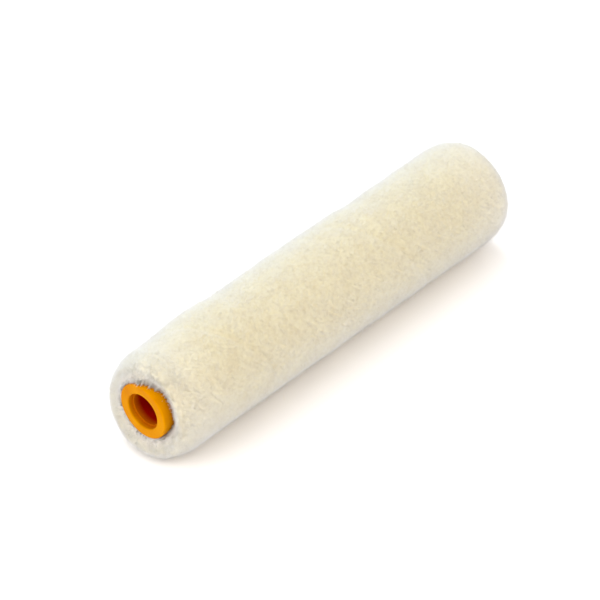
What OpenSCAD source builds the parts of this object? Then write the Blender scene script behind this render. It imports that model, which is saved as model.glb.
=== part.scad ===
// Mini paint-roller sleeve: a plastic core tube, a plush cover bonded round it, and a bearing cap in each end.
// The sleeve turns about Y. The origin is the middle of its axis, +Z is up, and lengths are millimetres.

/* [Core tube] */
// Length of the core tube, which is the sleeve's nominal width
core_length = 110; // [60:1:180]
// Outer diameter of the core tube
core_d = 15.4; // [14.8:0.1:18]
// Wall thickness of the core tube
core_wall = 1.2; // [0.9:0.1:1.3]

/* [Cover] */
// Thickness of the melted film that bonds the backing cloth to the core
film_t = 0.2; // [0.1:0.05:0.4]
// Thickness of the woven backing cloth
backing_t = 0.8; // [0.4:0.1:1.2]
// Height of the pile above the backing cloth
pile_h = 5.1; // [4:0.1:9]
// How far the pile fans out past each end of the core
pile_overhang = 2.3; // [1.5:0.1:3]
// Length of the rounded shoulder at each end of the pile
shoulder_length = 6; // [3:0.5:10]
// Depth of the rounded shoulder at each end of the pile
shoulder_depth = 4; // [2:0.1:4]
// How far the pile is packed down where the sleeve lies on it
rest_depth = 0.3; // [0.1:0.05:0.6]

/* [End caps] */
// Diameter of the collar that shows outside the core
collar_d = 14.4; // [14:0.1:14.6]
// How far the collar stands out of the core
collar_proud = 3.2; // [2.5:0.1:5]
// Rounding of the collar's outer edge
collar_edge_r = 0.4; // [0.1:0.05:0.8]
// Diameter of the bore that runs on the frame's wire
bore_d = 8.3; // [6.2:0.1:8.4]
// Diameter of the wider mouth of the bore
mouth_d = 9.3; // [8.8:0.1:10.5]
// Depth of the wider mouth, down to its ledge
mouth_depth = 1.4; // [0.8:0.1:2.5]
// Rounding of the lip round the mouth
lip_r = 0.35; // [0.1:0.05:0.6]
// Length of the spigot pressed into the core
spigot_length = 12; // [6:0.5:20]
// Radial gap between the spigot's plain wall and the core, which the ribs fill
rib_height = 0.25; // [0.1:0.05:0.4]
// Width of each rib
rib_width = 0.9; // [0.5:0.1:1.5]
// Number of ribs round the spigot
rib_count = 8; // [4:1:12]
// Length of the taper that leads the spigot into the core
lead_in = 1.5; // [0.5:0.1:3]

/* [Hidden] */

round_fn = 96;
core_r = core_d / 2;
core_inner_r = core_r - core_wall;
film_r = core_r + film_t;
backing_r = film_r + backing_t;
pile_r = backing_r + pile_h;
core_end = core_length / 2;

collar_r = collar_d / 2;
bore_r = bore_d / 2;
mouth_r = mouth_d / 2;
spigot_r = core_inner_r - rib_height;
cap_length = collar_proud + spigot_length;
// The lead-in narrows the spigot by this much, and the ribs run out where it starts
lead_in_depth = 0.5;
rib_length = spigot_length - lead_in;
// The ribs are sunk this far into the spigot's wall, so that they are one solid with it
rib_sink = 0.5;
// The ribs end this much short of the core's bore, a press fit drawn at its loosest
rib_gap = 0.02;

// The pile stays this far off the collar, and falls back to this height beside it
pile_gap = 0.3;
valley_height = 0.3;
valley_r = collar_r + pile_gap;
crown_r = pile_r - shoulder_depth;
crown_end = core_end + pile_overhang;
valley_end = core_end + valley_height;

// Points along an elliptical arc about centre, from one angle to the other
function arc(centre, radii, from, to, steps) = [
    for (i = [0:steps])
        let (a = from + (to - from) * i / steps)
        [centre[0] + radii[0] * cos(a), centre[1] + radii[1] * sin(a)]
];

// One end of the pile, [radius, distance from the middle]: from the crown of the fanned end out to the side
function shoulder() = arc([crown_r, crown_end - shoulder_length], [shoulder_depth, shoulder_length], 90, 0, 12);

// The same end, from the foot beside the collar up to the crown
function valley() = arc([crown_r, valley_end], [crown_r - valley_r, crown_end - valley_end], 180, 90, 6);

// Half of the pile's outline, from its inside to its side, for the +Y end
function pile_end() = concat([[backing_r, core_end], [valley_r, core_end]], valley(), shoulder());

// The points in reverse order, at the other end
function other_end(points) = [for (i = [len(points) - 1:-1:0]) [points[i][0], -points[i][1]]];

// A cap's outline, [radius, depth from its face]
function cap_outline() = concat(
    [[bore_r, cap_length], [bore_r, mouth_depth], [mouth_r, mouth_depth]],
    arc([mouth_r + lip_r, lip_r], [lip_r, lip_r], 180, 270, 4),
    arc([collar_r - collar_edge_r, collar_edge_r], [collar_edge_r, collar_edge_r], 270, 360, 5),
    [[collar_r, collar_proud], [spigot_r, collar_proud], [spigot_r, cap_length - lead_in]],
    [[spigot_r - lead_in_depth, cap_length]]
);

// Turns a shape made round Z so that its axis is Y, with +Z going to +Y
module along_y() {
    rotate([-90, 0, 0]) children();
}

// A plain tube about Y, centred on the origin
module sleeve_tube(outer_r, inner_r, length) {
    along_y()
        difference() {
            cylinder(h = length, r = outer_r, center = true, $fn = round_fn);
            cylinder(h = length + 2, r = inner_r, center = true, $fn = round_fn);
        }
}

// The ribs along the spigot, which grip the bore of the core
module spigot_ribs() {
    intersection() {
        translate([0, 0, collar_proud])
            cylinder(h = rib_length, r = core_inner_r - rib_gap, $fn = round_fn);
        for (i = [0:rib_count - 1])
            rotate([0, 0, i * 360 / rib_count])
                translate([spigot_r - rib_sink, -rib_width / 2, collar_proud])
                    cube([rib_sink + rib_height + 1, rib_width, rib_length]);
    }
}

// A bearing cap with its face at the origin and its spigot along +Z
module end_cap() {
    union() {
        rotate_extrude($fn = round_fn) polygon(cap_outline());
        spigot_ribs();
    }
}

// A cap pressed into the -Y end of the core
module seated_cap() {
    translate([0, -core_end - collar_proud, 0]) along_y() end_cap();
}

module core_tube() {
    color("gainsboro") sleeve_tube(core_r, core_inner_r, core_length);
}

module bond_film() {
    color("wheat") sleeve_tube(film_r, core_r, core_length);
}

module backing_cloth() {
    color("ivory") sleeve_tube(backing_r, film_r, core_length);
}

// The pile all the way round, before anything presses on it
module round_pile() {
    along_y()
        rotate_extrude($fn = round_fn)
            polygon(concat(pile_end(), other_end(pile_end())));
}

// What lies under the sleeve: its top is the surface that packs the pile down
module ground() {
    side = 2 * crown_end + 2;
    translate([0, 0, rest_depth - pile_r - side / 2]) cube(side, center = true);
}

module pile() {
    color("cornsilk")
        difference() {
            round_pile();
            ground();
        }
}

module near_end_cap() {
    color("orange") seated_cap();
}

module far_end_cap() {
    color("orange") mirror([0, 1, 0]) seated_cap();
}

core_tube();
bond_film();
backing_cloth();
pile();
near_end_cap();
far_end_cap();
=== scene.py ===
"""The looks of a mini paint-roller sleeve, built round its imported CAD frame.

The sleeve lies along Y. Angles round it run from +Z, its top, towards +X. Everything is in metres.
"""

import math

import bpy
import numpy as np
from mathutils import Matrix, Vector


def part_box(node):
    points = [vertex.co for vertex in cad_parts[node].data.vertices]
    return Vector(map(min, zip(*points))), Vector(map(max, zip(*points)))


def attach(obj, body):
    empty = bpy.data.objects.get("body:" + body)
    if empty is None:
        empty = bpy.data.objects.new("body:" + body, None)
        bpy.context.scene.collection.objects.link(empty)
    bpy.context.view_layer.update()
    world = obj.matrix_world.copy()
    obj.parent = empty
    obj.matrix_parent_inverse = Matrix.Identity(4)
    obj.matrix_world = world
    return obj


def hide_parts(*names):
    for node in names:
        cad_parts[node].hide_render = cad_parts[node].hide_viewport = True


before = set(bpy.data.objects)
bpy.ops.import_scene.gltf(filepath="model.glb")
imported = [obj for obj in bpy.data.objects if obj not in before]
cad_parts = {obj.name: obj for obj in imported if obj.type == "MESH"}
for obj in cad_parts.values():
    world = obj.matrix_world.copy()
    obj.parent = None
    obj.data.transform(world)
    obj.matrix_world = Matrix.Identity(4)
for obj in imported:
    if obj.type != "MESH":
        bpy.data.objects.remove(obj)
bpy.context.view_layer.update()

MM = 0.001
SEED = 20

# Sizes read off the frame
pile_low, pile_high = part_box("pile")
cloth_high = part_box("backing_cloth")[1]
film_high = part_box("bond_film")[1]
cap_low, cap_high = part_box("near_end_cap")

PILE_R = pile_high.x
CROWN_Y = pile_high.y
FLOOR_Z = pile_low.z
CLOTH_R = cloth_high.x
CORE_Y = cloth_high.y
FILM_R = film_high.x
COLLAR_R = cap_high.x
CAP_FACE_Y = -cap_low.y

# Rounding of the pile's two ends, whose fibres reach a little past the CAD's
CROWN_REACH = 0.6 * MM
SHOULDER_LENGTH = 7.0 * MM
SHOULDER_DEPTH = 3.0 * MM
CROWN_R = PILE_R - SHOULDER_DEPTH
VALLEY_R = COLLAR_R + 0.1 * MM
VALLEY_Y = CORE_Y + 0.15 * MM
# How much an end face swells out from a straight line between its foot and its crown
FACE_SWELL = 0.3
# The near end's rim is pushed out underneath, where it rests, and set back at the top
NEAR_PUSH = 1.7 * MM
NEAR_PUSH_ANGLE = math.radians(190)
# Its fibres stand this high beside the collar, except round this angle, where the collar shows to its foot
NEAR_FILL = 2.6 * MM
NEAR_OPEN_ANGLE = math.radians(65)
NEAR_OPEN_REACH = math.radians(80)
NEAR_OPEN_EDGE = math.radians(50)
# The back of the pile swells before each of these places and drops at it, and thins out towards the near end
BACK_ANGLE = math.radians(-51)
BACK_STEPS = (-28.0 * MM, 18.5 * MM)
BACK_SWELL = 0.25 * MM
BACK_DROP = 0.55 * MM
BACK_STEP_EDGE = 1.5 * MM
BACK_STEP_REACH = 9 * MM
BACK_THINNING = 0.9 * MM
BACK_THIN_START = 36 * MM
BACK_THIN_LENGTH = 12 * MM

# The cloth is one strip wound round the core in a right-handed helix, with a butt seam. Its two ends are
# cut flush with the core's, so each runs out to a point, which is blunted by this many radians.
SEAM_PITCH = 50.5 * MM
SEAM_Y = 11.0 * MM
SEAM_SLOPE = math.atan2(SEAM_PITCH, 2 * math.pi * CLOTH_R)
SEAM_GAP = 0.15 * MM
POINT_BLUNTING = 0.02
CLOTH_CLEARANCE = 0.01 * MM
CLOTH_STEP = 0.5 * MM
THREAD_PITCH = 1.2 * MM
THREAD_RELIEF = 0.12 * MM
# The nap dips along the seam, stands a little fuller before it, and parts over it
SEAM_DIP = 0.16 * MM
SEAM_DIP_WIDTH = 0.8 * MM
SEAM_SWELL = 0.08 * MM
SEAM_SWELL_REACH = 3 * MM
SEAM_PARTING = 0.3
SEAM_PARTING_EDGE = 0.5 * MM
SEAM_PARTING_WIDTH = 1.1 * MM

# The nap's soft unevenness, (amount, wavelength): how high it stands, and how its fibres lean
LUMPS = ((0.06 * MM, 9 * MM), (0.03 * MM, 2.5 * MM))
LEANS = ((0.08, 6 * MM), (0.05, 1.4 * MM))
# Fibres less than this far above the floor are packed down on it
SOFT_REST = 0.25 * MM

# The tufts, which are evenly spread with some jitter
STRAND_TAPER = 0.6
TUFT_PITCH = 0.24 * MM
TUFT_JITTER = 0.35
TUFT_LENGTH = 1.3 * MM
TUFT_LENGTH_RANGE = (0.85, 1.15)
TUFT_WIDTH = 0.15 * MM
TUFT_WIDTH_RANGE = (0.8, 1.25)
TUFT_LEAN = 0.11
TUFT_UNEVEN = 0.06 * MM
NAP_PIECES = 5
# The mat under them, and the height and shade that its colour is mixed for
MAT_DEPTH = 0.42 * MM
MAT_CLEARANCE = 0.02 * MM
MAT_STEP = 0.42 * MM
MAT_UNEVEN = 0.12 * MM
MAT_LUMP_SIZE = 0.9 * MM
MAT_HEIGHT = 0.35
MAT_SHADE = 0.5
# The fuzz: its fibres stand above the tufts by a random amount, most of them only a little
FUZZ_COUNT = 45000
FUZZ_WIDTH = 0.025 * MM
FUZZ_LEAN = 0.35
FUZZ_LENGTH = 1.2 * MM
FUZZ_RISE = 0.25 * MM
FUZZ_LOWEST = 0.08 * MM
FUZZ_HIGHEST = 1.1 * MM
FUZZ_PIECES = 3
FIBRE_WIDTH_RANGE = (0.8, 1.3)
# The fringe, which is crowded towards the collar by this power and curls down onto it within this distance
FRINGE_COUNT = 9000
FRINGE_WIDTH = 0.05 * MM
FRINGE_LENGTH_RANGE = (1.4 * MM, 2.2 * MM)
FRINGE_CLEARANCE = 0.05 * MM
FRINGE_RISE = 0.2 * MM
FRINGE_REACH = 6.0 * MM
FRINGE_CROWDING = 1.6
FRINGE_HUG = 1.3 * MM
FRINGE_CURL = 0.25
FRINGE_SPREAD = 0.8 * MM
# Its pointed clumps beside the collar, which are gathered towards their tips and fade out away from it
TEETH = 44
TOOTH_LENGTH = 1.5 * MM
TOOTH_SET_BACK = 0.25 * MM
TOOTH_UNEVEN = 0.06 * MM
TOOTH_GATHER = 0.12
TOOTH_FADE = 1.9 * MM
# They wander from even places by this share of a clump, and vary in length by this share, in soft waves
TOOTH_WANDER = 0.4
TOOTH_WANDER_SIZE = 4 * MM
TOOTH_VARIATION = 0.35
TOOTH_VARIATION_SIZE = 2.5 * MM

# Painted shade: the cap's bore is painted darker and redder inside this radius, down to this depth, where
# shade falls in it
BORE_SHADE_R = 4.9 * MM
BORE_SHADE_DEPTH = 3.3 * MM
# The streaks on the core, which are drawn out along it
STREAKS_PER_METRE = 900.0
STREAK_STRETCH = 0.03

# The camera: azimuths run from the near end towards +X, and angles are in degrees
VIEW_AZIMUTH = 43.07
VIEW_ELEVATION = 39.97
VIEW_DISTANCE = 0.8
VIEW_LENS = 198.7
AIM = Vector((-5.7 * MM, 0.9 * MM, -5.9 * MM))

# The studio: a floor, an even white surround, and soft lights (name, azimuth, elevation, strength, colour)
FLOOR_SIZE = 4.0
SURROUND_STRENGTH = 0.96
LIGHT_DISTANCE = 1.2
LIGHT_SIZE = 0.8
LIGHTS = (
    ("key", 80, 45, 0.32, (1.0, 0.90, 0.80)),
    ("front", -10, 40, 0.35, (1.0, 0.97, 0.95)),
    ("back", -110, 55, 0.31, (0.83, 0.97, 1.0)),
)


# ---------------------------------------------------------------- meshes

def mesh_object(name, points, faces):
    """A smooth-shaded mesh object from (n, 3) points and (m, k) corner indices."""
    mesh = bpy.data.meshes.new(name)
    corners = faces.shape[1]
    mesh.vertices.add(len(points))
    mesh.vertices.foreach_set("co", np.asarray(points, np.float32).ravel())
    mesh.loops.add(faces.size)
    mesh.loops.foreach_set("vertex_index", faces.astype(np.int32).ravel())
    mesh.polygons.add(len(faces))
    mesh.polygons.foreach_set("loop_start", np.arange(0, faces.size, corners, dtype=np.int32))
    mesh.update(calc_edges=True)
    mesh.shade_smooth()
    piece = bpy.data.objects.new(name, mesh)
    bpy.context.scene.collection.objects.link(piece)
    return piece


def add_attribute(piece, name, values):
    """One number at each point of the piece, for its material to read."""
    layer = piece.data.attributes.new(name, "FLOAT", "POINT")
    layer.data.foreach_set("value", np.asarray(values, np.float32).ravel())


def waves(points, wavelength, seed, count=16):
    """Smooth noise of about -1 to 1 at each point: sine waves in random directions, added up."""
    rng = np.random.default_rng(seed)
    turn = rng.normal(size=(count, 3))
    turn *= 2 * math.pi / wavelength / np.linalg.norm(turn, axis=1, keepdims=True)
    phase = rng.uniform(0, 2 * math.pi, count)
    return np.sin(points @ turn.T + phase).sum(axis=1) / math.sqrt(count)


def layered_waves(points, layers, seed):
    """Smooth noise of several sizes at once. The layers are (amount, wavelength)."""
    return sum(amount * waves(points, size, seed + i) for i, (amount, size) in enumerate(layers))


def unit(vectors):
    """The same vectors, one unit long."""
    return vectors / np.linalg.norm(vectors, axis=1, keepdims=True)


def round_y(radius, angle, y):
    """Points at those radii and angles round the sleeve's axis."""
    return np.stack([radius * np.sin(angle), y, radius * np.cos(angle)], axis=1)


# ---------------------------------------------------------------- the pile's shape

def pile_outline(steps=240):
    """(radius, y) points of the nap's surface, from the collar at one end to the collar at the other."""
    turn = np.linspace(0, math.pi / 2, steps)
    valley_r = CROWN_R - (CROWN_R - VALLEY_R) * np.cos(turn)
    crown_y = CROWN_Y + CROWN_REACH
    valley_y = VALLEY_Y + (crown_y - VALLEY_Y) * np.sin(turn)
    shoulder_r = CROWN_R + SHOULDER_DEPTH * np.sin(turn)
    shoulder_y = crown_y - SHOULDER_LENGTH * (1 - np.cos(turn))
    end = np.concatenate([np.stack([valley_r, valley_y], 1), np.stack([shoulder_r, shoulder_y], 1)[1:]])
    return np.concatenate([end * (1, -1), end[::-1]])


OUTLINE = pile_outline()
ALONG = np.concatenate([[0], np.cumsum(np.linalg.norm(np.diff(OUTLINE, axis=0), axis=1))])


def on_outline(along):
    """(radius, y) of the nap's surface at each distance along its outline."""
    return np.interp(along, ALONG, OUTLINE[:, 0]), np.interp(along, ALONG, OUTLINE[:, 1])


def seam_offset(angle, y):
    """How far each place lies past the nearest turn of the seam, square to the seam."""
    past = (y - SEAM_Y - SEAM_PITCH * angle / (2 * math.pi) + SEAM_PITCH / 2) % SEAM_PITCH - SEAM_PITCH / 2
    return past * math.cos(SEAM_SLOPE)


def back_rise(angle, y):
    """The uneven back of the pile: two soft steps, and a taper towards the near end."""
    rise = -BACK_THINNING * np.clip((-y - BACK_THIN_START) / BACK_THIN_LENGTH, 0, 1)
    for step in BACK_STEPS:
        past = (y - step) / BACK_STEP_REACH
        beyond = 0.5 + 0.5 * np.tanh((y - step) / BACK_STEP_EDGE)
        rise -= BACK_DROP * beyond * np.exp(-np.maximum(past, 0))
        rise += BACK_SWELL * (1 - beyond) * np.exp(np.minimum(past, 0))
    return rise * np.clip(np.cos(angle - BACK_ANGLE), 0, 1) ** 2


def share_outward(radius):
    """How far out each radius is on the way from the collar to the crown, from 0 to 1."""
    return np.clip((radius - VALLEY_R) / (CROWN_R - VALLEY_R), 0, 1)


def nap_surface(along, angle):
    """(radius, y) of the nap's surface: its outline, with the near end's own lopsided shape."""
    radius, y = on_outline(along)
    pushed = NEAR_PUSH * np.cos(angle - NEAR_PUSH_ANGLE)
    past = np.clip((-y - (CROWN_Y - SHOULDER_LENGTH)) / SHOULDER_LENGTH, 0, 1)
    side_y = y - pushed * past**2 * (3 - 2 * past)
    from_opening = np.abs((angle - NEAR_OPEN_ANGLE + math.pi) % (2 * math.pi) - math.pi)
    closed = 1 - np.clip((NEAR_OPEN_REACH - from_opening) / NEAR_OPEN_EDGE, 0, 1)
    foot_y = VALLEY_Y + NEAR_FILL * closed
    crown_y = CROWN_Y + CROWN_REACH + pushed
    outward = share_outward(radius)
    face_y = foot_y + (crown_y - foot_y) * ((1 + FACE_SWELL) * outward - FACE_SWELL * outward**2)
    on_near_face = (y < 0) & (radius < CROWN_R)
    return radius, np.where(on_near_face, -face_y, side_y)


def nap_rise(angle, y, points):
    """How far the nap stands above its outline: lumps, a shallow dip along the seam, and the uneven back."""
    offset = seam_offset(angle, y)
    lumps = layered_waves(points, LUMPS, seed=1)
    dip = SEAM_DIP * np.exp(-((offset / SEAM_DIP_WIDTH) ** 2))
    fuller = SEAM_SWELL * np.exp(-np.abs(offset + SEAM_SWELL_REACH) / SEAM_SWELL_REACH)
    outward = share_outward(np.hypot(points[:, 0], points[:, 2]))
    return lumps - dip + fuller + back_rise(angle, y) * outward


def lean(angle, y, points):
    """How the fibres lean from square: along the axis, and round it."""
    offset = seam_offset(angle, y)
    along = layered_waves(points, LEANS, seed=3)
    around = layered_waves(points, LEANS, seed=5)
    parting = np.tanh(offset / SEAM_PARTING_EDGE) * np.exp(-((offset / SEAM_PARTING_WIDTH) ** 2))
    return along - SEAM_PARTING * parting, around


def rest_on_floor(points):
    """Packs down whatever comes close to the floor or would reach below it."""
    height = points[:, 2] - FLOOR_Z
    low = height < SOFT_REST
    points[low, 2] = FLOOR_Z + SOFT_REST * np.exp((height[low] - SOFT_REST) / SOFT_REST)
    return points


# ---------------------------------------------------------------- tufts

def strand_faces(rings):
    """Corners of one tapered three-sided strand: rings of three points from its foot up, then its tip."""
    faces = [(2, 1, 0)]
    for low in range(0, 3 * rings - 3, 3):
        for corner in range(3):
            beside = (corner + 1) % 3
            faces.append((low + corner, low + beside, low + 3 + beside))
            faces.append((low + corner, low + 3 + beside, low + 3 + corner))
    last = 3 * rings - 3
    faces += [(last + corner, last + (corner + 1) % 3, 3 * rings) for corner in range(3)]
    return np.array(faces)


def strand_heights(rings):
    """How far up its strand each point is, from 0 to 1."""
    return np.append(np.repeat(np.arange(rings) / rings, 3), 1.0)


def strand_points(tip, direction, length, width, bend, roll, rings):
    """The points of many strands, (strand, point, xyz). Each bends more and more towards its tip."""
    reference = np.where(np.abs(direction[:, 1:2]) > 0.8, [[1.0, 0, 0]], [[0, 1.0, 0]])
    side = unit(np.cross(direction, reference))
    other = np.cross(direction, side)
    foot = tip - direction * length[:, None] - bend
    points = []
    for ring in range(rings):
        height = ring / rings
        centre = foot + direction * (length * height)[:, None] + bend * height**2
        for corner in range(3):
            turn = roll + corner * 2 * math.pi / 3
            out = np.cos(turn)[:, None] * side + np.sin(turn)[:, None] * other
            points.append(centre + out * (width * (1 - STRAND_TAPER * height**2))[:, None])
    return np.stack([*points, tip], axis=1)


def strand_object(name, points, shade):
    """One mesh of many strands, with a height and a shade at each point and a UV cell for each strand."""
    count, per_strand = points.shape[:2]
    rings = (per_strand - 1) // 3
    height = strand_heights(rings)
    faces = strand_faces(rings)
    corners = (faces[None] + per_strand * np.arange(count)[:, None, None]).reshape(-1, 3)
    piece = mesh_object(name, points.reshape(-1, 3), corners)
    add_attribute(piece, "height", np.tile(height, count))
    add_attribute(piece, "shade", np.repeat(shade, per_strand))
    side = math.ceil(math.sqrt(count))
    cell = np.stack([np.arange(count) % side, np.arange(count) // side], axis=1)
    margin = 0.15
    across = np.append(np.tile([margin, 1 - margin, 0.5], rings), 0.5)
    place = np.stack([across, margin + (1 - 2 * margin) * height], axis=1)
    uv = (cell[:, None] + place[None])[:, faces] / side
    piece.data.uv_layers.new(name="OFBake").uv.foreach_set("vector", uv.astype(np.float32).ravel())
    return piece


def scatter_nap():
    """(distance along the outline, angle) of each tuft, in rings a pitch apart."""
    rng = np.random.default_rng(SEED)
    rings = np.arange(TUFT_PITCH / 2, ALONG[-1], TUFT_PITCH)
    counts = np.round(2 * math.pi * on_outline(rings)[0] / TUFT_PITCH).astype(int)
    along = np.repeat(rings, counts)
    start = np.repeat(rng.uniform(0, 1, len(rings)), counts)
    step = np.concatenate([np.arange(n) for n in counts])
    per_ring = np.repeat(counts, counts)
    angle = (step + start + rng.uniform(-TUFT_JITTER, TUFT_JITTER, len(along))) / per_ring * 2 * math.pi
    along = along + rng.uniform(-TUFT_JITTER, TUFT_JITTER, len(along)) * TUFT_PITCH
    return np.clip(along, 0, ALONG[-1]), (angle + math.pi) % (2 * math.pi) - math.pi


def fibre_direction(radius, y, angle):
    """The way the fibres point from the cloth: straight out, and fanned past the cloth's cut ends."""
    past = y - np.clip(y, -CORE_Y, CORE_Y)
    return unit(round_y(radius - CLOTH_R, angle, past))


def grow(along, angle, rise, length, width, uneven_lean, seed):
    """Points of straight strands on the nap's surface, each tip standing that far above it."""
    rng = np.random.default_rng(seed)
    count = len(along)
    radius, y = nap_surface(along, angle)
    surface = round_y(radius, angle, y)
    square = fibre_direction(radius, y, angle)
    lean_along, lean_around = lean(angle, y, surface)
    around = round_y(np.ones(count), angle + math.pi / 2, np.zeros(count))
    random_lean = rng.normal(0, uneven_lean, (count, 3))
    direction = unit(square + lean_along[:, None] * [0, 1, 0] + lean_around[:, None] * around + random_lean)
    tip = surface + square * (nap_rise(angle, y, surface) + rise)[:, None]
    roll = rng.uniform(0, 2 * math.pi, count)
    points = strand_points(tip, direction, length, width, np.zeros((count, 3)), roll, rings=1)
    return rest_on_floor(points.reshape(-1, 3)).reshape(points.shape)


def make_nap():
    """The nap's tufts, in a few lengthwise pieces."""
    along, angle = scatter_nap()
    rng = np.random.default_rng(SEED + 1)
    count = len(along)
    rise = rng.normal(0, TUFT_UNEVEN, count)
    length = TUFT_LENGTH * rng.uniform(*TUFT_LENGTH_RANGE, count)
    width = TUFT_WIDTH * rng.uniform(*TUFT_WIDTH_RANGE, count)
    points = grow(along, angle, rise, length, width, TUFT_LEAN, SEED + 2)
    shade = rng.uniform(0, 1, count)
    sector = ((angle + math.pi) / (2 * math.pi) * NAP_PIECES).astype(int) % NAP_PIECES
    return [
        strand_object(f"nap_{i + 1}", points[sector == i], shade[sector == i])
        for i in range(NAP_PIECES)
    ]


def make_fuzz(name, seed):
    """Fine single fibres that stand above the tufts and soften the pile's outline."""
    rng = np.random.default_rng(seed)
    along = rng.uniform(0, ALONG[-1], 2 * FUZZ_COUNT)
    kept = np.flatnonzero(on_outline(along)[0] > PILE_R * rng.uniform(0, 1, len(along)))[:FUZZ_COUNT]
    along = along[kept]
    count = len(along)
    angle = rng.uniform(-math.pi, math.pi, count)
    rise = np.minimum(rng.exponential(FUZZ_RISE, count) + FUZZ_LOWEST, FUZZ_HIGHEST)
    length = rise + FUZZ_LENGTH
    width = FUZZ_WIDTH * rng.uniform(*FIBRE_WIDTH_RANGE, count)
    points = grow(along, angle, rise, length, width, FUZZ_LEAN, seed + 1)
    return strand_object(name, points, np.ones(count))


def make_fringe(name, end):
    """The fibres round one cut end of the cloth. They fan out and lie on the collar in pointed clumps."""
    rng = np.random.default_rng(SEED + 5 + (end > 0))
    count = FRINGE_COUNT
    angle = rng.uniform(-math.pi, math.pi, count)
    along = FRINGE_REACH * rng.uniform(0, 1, count) ** FRINGE_CROWDING
    radius, y = nap_surface(along if end < 0 else ALONG[-1] - along, angle)
    radius = np.maximum(radius, COLLAR_R + FRINGE_CLEARANCE)
    beside_collar = round_y(np.full(count, COLLAR_R), angle, np.zeros(count))
    tooth_angle = 2 * math.pi / TEETH
    wander = TOOTH_WANDER * waves(beside_collar, TOOTH_WANDER_SIZE, seed=11 + end)
    from_tooth = (angle / tooth_angle + wander) % 1 - 0.5
    uneven = 1 - TOOTH_VARIATION + TOOTH_VARIATION * waves(beside_collar, TOOTH_VARIATION_SIZE, seed=13 + end)
    tooth = TOOTH_LENGTH * uneven * (1 - 2 * np.abs(from_tooth)) - TOOTH_SET_BACK
    in_teeth = np.exp(-((along / TOOTH_FADE) ** 2))
    rise = rng.uniform(0, FRINGE_RISE, count) * (1 - along / FRINGE_REACH)
    reach = (tooth + rng.normal(0, TOOTH_UNEVEN, count)) * in_teeth
    y += end * (reach + rise + nap_rise(angle, y, round_y(radius, angle, y)))
    gathered = -TOOTH_GATHER * from_tooth * tooth_angle * in_teeth
    angle += gathered
    direction = unit(round_y(radius - CLOTH_R, angle, end * (np.abs(y) - CORE_Y + FRINGE_SPREAD)))
    length = rng.uniform(*FRINGE_LENGTH_RANGE, count)
    inward = -round_y(np.ones(count), angle, np.zeros(count))
    around = round_y(np.ones(count), angle + math.pi / 2, np.zeros(count))
    curl = FRINGE_CURL * length * np.exp(-along / FRINGE_HUG)
    bend = curl[:, None] * inward + (gathered * radius)[:, None] * around
    width = FRINGE_WIDTH * rng.uniform(*FIBRE_WIDTH_RANGE, count)
    roll = rng.uniform(0, 2 * math.pi, count)
    points = strand_points(round_y(radius, angle, y), direction, length, width, bend, roll, rings=3)
    points = rest_on_floor(points.reshape(-1, 3)).reshape(points.shape)
    return strand_object(name, points, rng.uniform(0.3, 1, count))


def make_mat():
    """The close lower part of the pile, which shows between the tufts: a lumpy closed tube on the cloth."""
    along = np.linspace(0, ALONG[-1], round(ALONG[-1] / MAT_STEP))
    ring = round(2 * math.pi * PILE_R / MAT_STEP)
    turn = np.linspace(0, 2 * math.pi, ring, endpoint=False)
    angle, distance = (grid.ravel() for grid in np.meshgrid(turn, along))
    radius, y = nap_surface(distance, angle)
    surface = round_y(radius, angle, y)
    square = fibre_direction(radius, y, angle)
    sink = MAT_DEPTH - nap_rise(angle, y, surface) + MAT_UNEVEN * waves(surface, MAT_LUMP_SIZE, seed=7)
    outside = rest_on_floor(surface - square * sink[:, None])
    inside_r = np.full(ring, CLOTH_R + MAT_CLEARANCE)
    bore = [round_y(inside_r, turn, np.full(ring, end_y)) for end_y in (CORE_Y, -CORE_Y)]
    points = np.concatenate([outside, *bore])
    rows = len(along) + 2
    i, j = (grid.ravel() for grid in np.meshgrid(np.arange(rows), np.arange(ring), indexing="ij"))
    following, beside = (i + 1) % rows, (j + 1) % ring
    corners = (i * ring + j, i * ring + beside, following * ring + beside, following * ring + j)
    piece = mesh_object("pile_mat", points, np.stack(corners, axis=1))
    add_attribute(piece, "height", np.full(len(points), MAT_HEIGHT))
    add_attribute(piece, "shade", np.full(len(points), MAT_SHADE))
    return piece


def closed_slab(name, outer, inner):
    """A closed sheet between two grids of points, each (row, column, xyz)."""
    rows, columns = outer.shape[:2]
    ring = np.concatenate([outer, inner[::-1]])
    number = np.arange(2 * rows * columns).reshape(2 * rows, columns)
    following = np.roll(number, -1, axis=0)
    around = np.stack([number[:, :-1], number[:, 1:], following[:, 1:], following[:, :-1]], axis=-1)
    low, high = number[:rows], number[rows:][::-1]
    faces = [around.reshape(-1, 4)]
    for column, order in ((0, (0, 1, 2, 3)), (columns - 1, (3, 2, 1, 0))):
        cap = np.stack([low[:-1, column], low[1:, column], high[1:, column], high[:-1, column]], axis=-1)
        faces.append(cap[:, order])
    return mesh_object(name, ring.reshape(-1, 3), np.concatenate(faces))


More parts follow.
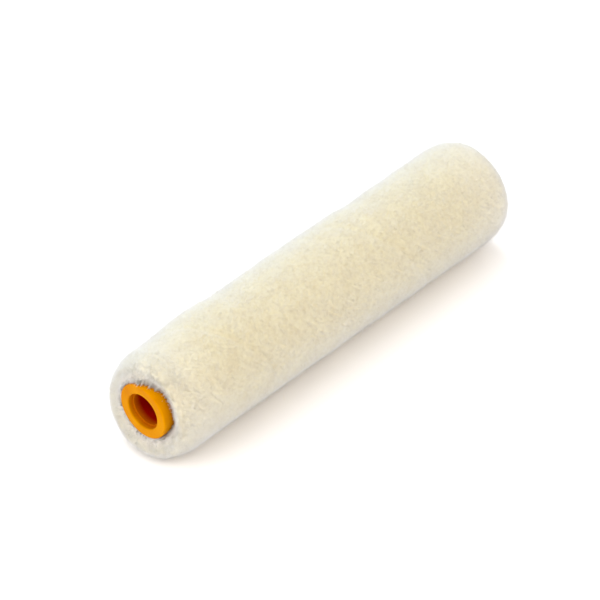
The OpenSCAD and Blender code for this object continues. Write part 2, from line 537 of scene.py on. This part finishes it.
def make_backing():
    """The woven strip wound in a helix: its long edges meet at the seam, and its ends are cut flush."""
    y_per_turn = SEAM_PITCH / (2 * math.pi)
    first = (SEAM_GAP - CORE_Y - SEAM_Y - SEAM_PITCH) / y_per_turn + POINT_BLUNTING
    last = (CORE_Y - SEAM_Y - SEAM_GAP) / y_per_turn - POINT_BLUNTING
    turn = np.linspace(first, last, round((last - first) * CLOTH_R / CLOTH_STEP))
    low = np.maximum(SEAM_Y + y_per_turn * turn + SEAM_GAP / 2, -CORE_Y)
    high = np.minimum(SEAM_Y + y_per_turn * turn + SEAM_PITCH - SEAM_GAP / 2, CORE_Y)
    across = np.linspace(0, 1, round(SEAM_PITCH / CLOTH_STEP))[:, None]
    y = low + (high - low) * across
    angle = np.broadcast_to(turn, y.shape)
    along_strip = CLOTH_R * angle * math.cos(SEAM_SLOPE) + y * math.sin(SEAM_SLOPE)
    across_strip = y * math.cos(SEAM_SLOPE) - CLOTH_R * angle * math.sin(SEAM_SLOPE)
    weave = np.sin(math.pi * along_strip / THREAD_PITCH) * np.sin(math.pi * across_strip / THREAD_PITCH)
    outer_r = CLOTH_R - THREAD_RELIEF * (0.5 - 0.5 * weave)
    inner_r = np.full(y.shape, FILM_R + CLOTH_CLEARANCE)
    outer, inner = (
        np.stack([radius * np.sin(angle), y, radius * np.cos(angle)], axis=-1)
        for radius in (outer_r, inner_r)
    )
    return closed_slab("backing_strip", outer, inner)


# ---------------------------------------------------------------- materials

class Nodes:
    """Adds nodes to a new material's tree and links them."""

    def __init__(self, name):
        self.material = bpy.data.materials.new(name)
        self.material.use_nodes = True
        self.tree = self.material.node_tree
        self.shader = self.tree.nodes["Principled BSDF"]

    def add(self, kind, **values):
        """A node of that kind, with its properties or unlinked inputs set."""
        node = self.tree.nodes.new(kind)
        for key, value in values.items():
            if hasattr(node, key):
                setattr(node, key, value)
            else:
                node.inputs[key.replace("_", " ")].default_value = value
        return node

    def link(self, source, target):
        self.tree.links.new(source, target)

    def drive(self, **values):
        """Links values to the shader's own sockets."""
        for key, value in values.items():
            self.link(value, self.shader.inputs[key.replace("_", " ")])

    def set(self, **values):
        """Constant values on the shader's own sockets."""
        for key, value in values.items():
            self.shader.inputs[key.replace("_", " ")].default_value = value

    def place(self):
        """The object's own coordinates."""
        return self.add("ShaderNodeTexCoord").outputs["Object"]

    def scaled_place(self, factors):
        """The object's own coordinates, each multiplied by its factor."""
        node = self.add("ShaderNodeVectorMath", operation="MULTIPLY")
        self.link(self.place(), node.inputs[0])
        node.inputs[1].default_value = factors
        return node.outputs["Vector"]

    def off_axis(self):
        """How far each place is from the sleeve's axis."""
        node = self.add("ShaderNodeVectorMath", operation="LENGTH")
        self.link(self.scaled_place((1.0, 0.0, 1.0)), node.inputs[0])
        return node.outputs["Value"]

    def off_middle(self):
        """How far along the sleeve each place is from its middle, towards either end."""
        split = self.add("ShaderNodeSeparateXYZ")
        self.link(self.place(), split.inputs["Vector"])
        distance = self.add("ShaderNodeMath", operation="ABSOLUTE")
        self.link(split.outputs["Y"], distance.inputs[0])
        return distance.outputs["Value"]

    def times(self, first, second):
        node = self.add("ShaderNodeMath", operation="MULTIPLY")
        self.link(first, node.inputs[0])
        self.link(second, node.inputs[1])
        return node.outputs["Value"]

    def noise(self, size, detail=3.0):
        """Noise with features of that size, in the object's own coordinates."""
        noise = self.add("ShaderNodeTexNoise", Scale=0.5 / size, Detail=detail)
        self.link(self.place(), noise.inputs["Vector"])
        return noise.outputs["Fac"]

    def attribute(self, name):
        return self.add("ShaderNodeAttribute", attribute_name=name).outputs["Fac"]

    def between(self, value, low, high, low_to=0.0, high_to=1.0):
        """The value, stretched from low..high to low_to..high_to and clamped."""
        node = self.add("ShaderNodeMapRange", From_Min=low, From_Max=high, To_Min=low_to, To_Max=high_to)
        self.link(value, node.inputs["Value"])
        return node.outputs["Result"]

    def mix(self, share, first, second):
        """A colour from first to second. Each is a colour or a socket."""
        node = self.add("ShaderNodeMix", data_type="RGBA")
        self.link(share, node.inputs[0])
        for socket, colour in ((node.inputs[6], first), (node.inputs[7], second)):
            if isinstance(colour, tuple):
                socket.default_value = (*colour, 1.0)
            else:
                self.link(colour, socket)
        return node.outputs[2]

    def bump(self, height, distance, strength=0.5):
        node = self.add("ShaderNodeBump", Strength=strength, Distance=distance)
        self.link(height, node.inputs["Height"])
        self.link(node.outputs["Normal"], self.shader.inputs["Normal"])


def srgb(red, green, blue):
    """A linear colour from 0..255 screen values, none of them near black."""
    return tuple(((value / 255 + 0.055) / 1.055) ** 2.4 for value in (red, green, blue))


def nap_material():
    """Cream plush: deeper cream in specks, whiter tips and ends, and a painted warm light beside the collar,
    which lightens the shade there.
    """
    n = Nodes("nap_plush")
    cream, tan, deep = srgb(222, 210, 165), srgb(212, 196, 148), srgb(194, 177, 128)
    white, painted_light_white = srgb(248, 247, 245), srgb(255, 242, 226)
    patches = n.between(n.noise(2.2 * MM), 0.42, 0.68, 0.0, 0.6)
    specks = n.between(n.noise(0.5 * MM), 0.45, 0.75, 0.0, 0.6)
    uneven = n.between(n.attribute("shade"), 0.0, 1.0, 0.0, 0.25)
    tips = n.between(n.attribute("height"), 0.7, 1.0, 0.0, 0.5)
    near_ends = n.between(n.off_middle(), CORE_Y - 15 * MM, CROWN_Y + 1 * MM, 0.0, 0.27)
    # Painted light: the fibres beside the collar are painted a warm white. It lightens the shade in the
    # hollow there and stands in for the cap's orange glow on them.
    painted_light_by_collar = n.between(n.off_axis(), COLLAR_R + 2.5 * MM, COLLAR_R, 0.0, 0.8)
    colour = n.mix(patches, cream, tan)
    colour = n.mix(specks, colour, deep)
    colour = n.mix(uneven, colour, white)
    colour = n.mix(tips, colour, white)
    colour = n.mix(near_ends, colour, white)
    colour = n.mix(painted_light_by_collar, colour, painted_light_white)
    n.drive(Base_Color=colour, Roughness=n.between(n.noise(0.6 * MM), 0.3, 0.7, 0.78, 0.95))
    n.set(Sheen_Weight=0.4, Sheen_Roughness=0.5, Specular_IOR_Level=0.15)
    n.set(Subsurface_Weight=1.0, Subsurface_Scale=0.42 * MM, Subsurface_Radius=(1.0, 1.0, 1.0))
    return n.material


def cap_material():
    """Moulded orange plastic: slightly uneven, with painted shade down the bore (darker and redder), a satin
    finish and a fine grain.
    """
    n = Nodes("cap_orange")
    orange, deep, red = (0.61, 0.245, 0.0), (0.52, 0.17, 0.0), (0.36, 0.003, 0.0)
    shade_in_bore = n.between(n.off_axis(), BORE_SHADE_R, BORE_SHADE_R + 0.3 * MM, 1.0, 0.0)
    shade_down_bore = n.between(n.off_middle(), CAP_FACE_Y, CAP_FACE_Y - BORE_SHADE_DEPTH)
    colour = n.mix(n.between(n.noise(3 * MM), 0.35, 0.7), orange, deep)
    # Painted shade: the bore is painted deep red towards its depth, standing in for the shade down it.
    colour = n.mix(n.times(shade_in_bore, shade_down_bore), colour, red)
    n.drive(Base_Color=colour, Roughness=n.between(n.noise(0.8 * MM), 0.3, 0.7, 0.40, 0.52))
    n.bump(n.noise(0.25 * MM, detail=4.0), 0.02 * MM, strength=0.35)
    n.set(Specular_IOR_Level=0.03, Specular_Tint=(1.0, 0.6, 0.0, 1.0))
    return n.material


def cloth_material():
    """Plain-woven backing: cream thread in soft patches, with darker slubs."""
    n = Nodes("backing_weave")
    light, dark, slub = srgb(226, 217, 196), srgb(214, 202, 176), srgb(190, 176, 148)
    colour = n.mix(n.between(n.noise(4 * MM), 0.35, 0.65), light, dark)
    colour = n.mix(n.between(n.noise(0.5 * MM), 0.5, 0.75, 0.0, 0.6), colour, slub)
    n.drive(Base_Color=colour, Roughness=n.between(n.noise(0.8 * MM), 0.3, 0.7, 0.8, 0.95))
    n.bump(n.noise(0.3 * MM), 0.05 * MM)
    n.set(Sheen_Weight=0.2, Specular_IOR_Level=0.15)
    return n.material


def film_material():
    """Melted adhesive: thin, yellowish and uneven, with a dull shine."""
    n = Nodes("bond_adhesive")
    colour = n.mix(n.between(n.noise(2 * MM), 0.3, 0.7), srgb(238, 228, 196), srgb(222, 204, 156))
    n.drive(Base_Color=colour, Roughness=n.between(n.noise(1 * MM), 0.3, 0.7, 0.3, 0.5))
    n.bump(n.noise(0.8 * MM), 0.05 * MM)
    return n.material


def core_material():
    """Extruded plastic tube: off-white, with faint streaks along its length."""
    n = Nodes("core_plastic")
    streaks = n.add("ShaderNodeTexNoise", Scale=STREAKS_PER_METRE, Detail=3.0)
    n.link(n.scaled_place((1.0, STREAK_STRETCH, 1.0)), streaks.inputs["Vector"])
    streak = streaks.outputs["Fac"]
    colour = n.mix(n.between(streak, 0.35, 0.65), srgb(224, 224, 218), srgb(210, 210, 203))
    n.drive(Base_Color=colour, Roughness=n.between(n.noise(1.5 * MM), 0.3, 0.7, 0.35, 0.5))
    n.bump(streak, 0.02 * MM)
    return n.material


def floor_material():
    """A plain pale floor with no grain."""
    n = Nodes("studio_floor")
    n.set(Base_Color=(0.97, 0.96, 0.98, 1.0), Roughness=0.6, Specular_IOR_Level=0.1)
    return n.material


def dress(piece, material):
    """Gives the piece that one material."""
    piece.data.materials.clear()
    piece.data.materials.append(material)


# ---------------------------------------------------------------- the object

def stand_for(piece, material, node):
    """The piece rides on the sleeve, and takes that CAD node's place."""
    dress(piece, material)
    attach(piece, "root")
    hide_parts(node)


def add_pile():
    """The mat, tufts, fuzz and fringes, which together stand for the CAD's pile."""
    plush = nap_material()
    fringes = [make_fringe("near_fringe", -1), make_fringe("far_fringe", 1)]
    fuzz = [make_fuzz(f"fuzz_{i + 1}", SEED + 10 * (i + 1)) for i in range(FUZZ_PIECES)]
    for piece in [make_mat(), *make_nap(), *fuzz, *fringes]:
        stand_for(piece, plush, "pile")


def add_backing():
    """The strip is 36.3 mm wide and 158 mm long down its middle, and its ends are cut on the slant."""
    strip = make_backing()
    stand_for(strip, cloth_material(), "backing_cloth")


def dress_cad_solids():
    """The solids that show as they are in the CAD get better materials."""
    orange = cap_material()
    for name in ("near_end_cap", "far_end_cap"):
        dress(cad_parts[name], orange)
    dress(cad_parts["bond_film"], film_material())
    dress(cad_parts["core_tube"], core_material())


# ---------------------------------------------------------------- studio

def toward(azimuth, elevation):
    """The direction from the sleeve to a place at that azimuth and elevation, in degrees."""
    a, e = math.radians(azimuth), math.radians(elevation)
    return Vector((math.sin(a) * math.cos(e), -math.cos(a) * math.cos(e), math.sin(e)))


def place_facing(thing, target, back, distance):
    """Sets a camera or lamp at that distance back from the target, facing it."""
    thing.location = target + back * distance
    thing.rotation_mode = "QUATERNION"
    thing.rotation_quaternion = back.to_track_quat("Z", "Y")
    bpy.context.scene.collection.objects.link(thing)


def add_camera():
    """A long lens, looking at the sleeve's near end and side from above."""
    camera = bpy.data.objects.new("camera", bpy.data.cameras.new("camera"))
    camera.data.lens = VIEW_LENS
    camera.data.clip_start = 0.01
    place_facing(camera, AIM, toward(VIEW_AZIMUTH, VIEW_ELEVATION), VIEW_DISTANCE)
    bpy.context.scene.camera = camera


def add_softbox(name, azimuth, elevation, strength, colour):
    """A round soft light. Its strength is the brightness it alone gives a white surface that faces it."""
    light = bpy.data.lights.new(name, "AREA")
    light.shape = "DISK"
    light.size = LIGHT_SIZE
    light.energy = strength * math.pi**2 * LIGHT_DISTANCE**2
    light.color = colour
    lamp = bpy.data.objects.new(name, light)
    place_facing(lamp, Vector((0, 0, 0)), toward(azimuth, elevation), LIGHT_DISTANCE)


def add_studio():
    """A white floor, an even white surround, and large soft lights."""
    bpy.ops.mesh.primitive_plane_add(size=FLOOR_SIZE, location=(0, 0, FLOOR_Z))
    floor = bpy.context.object
    floor.name = "floor"
    dress(floor, floor_material())
    for name, azimuth, elevation, strength, colour in LIGHTS:
        add_softbox(name, azimuth, elevation, strength, colour)
    world = bpy.data.worlds.new("surround")
    world.use_nodes = True
    background = world.node_tree.nodes["Background"]
    background.inputs["Strength"].default_value = SURROUND_STRENGTH
    background.inputs["Color"].default_value = (1.0, 1.0, 1.0, 1.0)
    bpy.context.scene.world = world
    bpy.context.scene.view_settings.view_transform = "Standard"


add_camera()
add_studio()
add_pile()
add_backing()
dress_cad_solids()
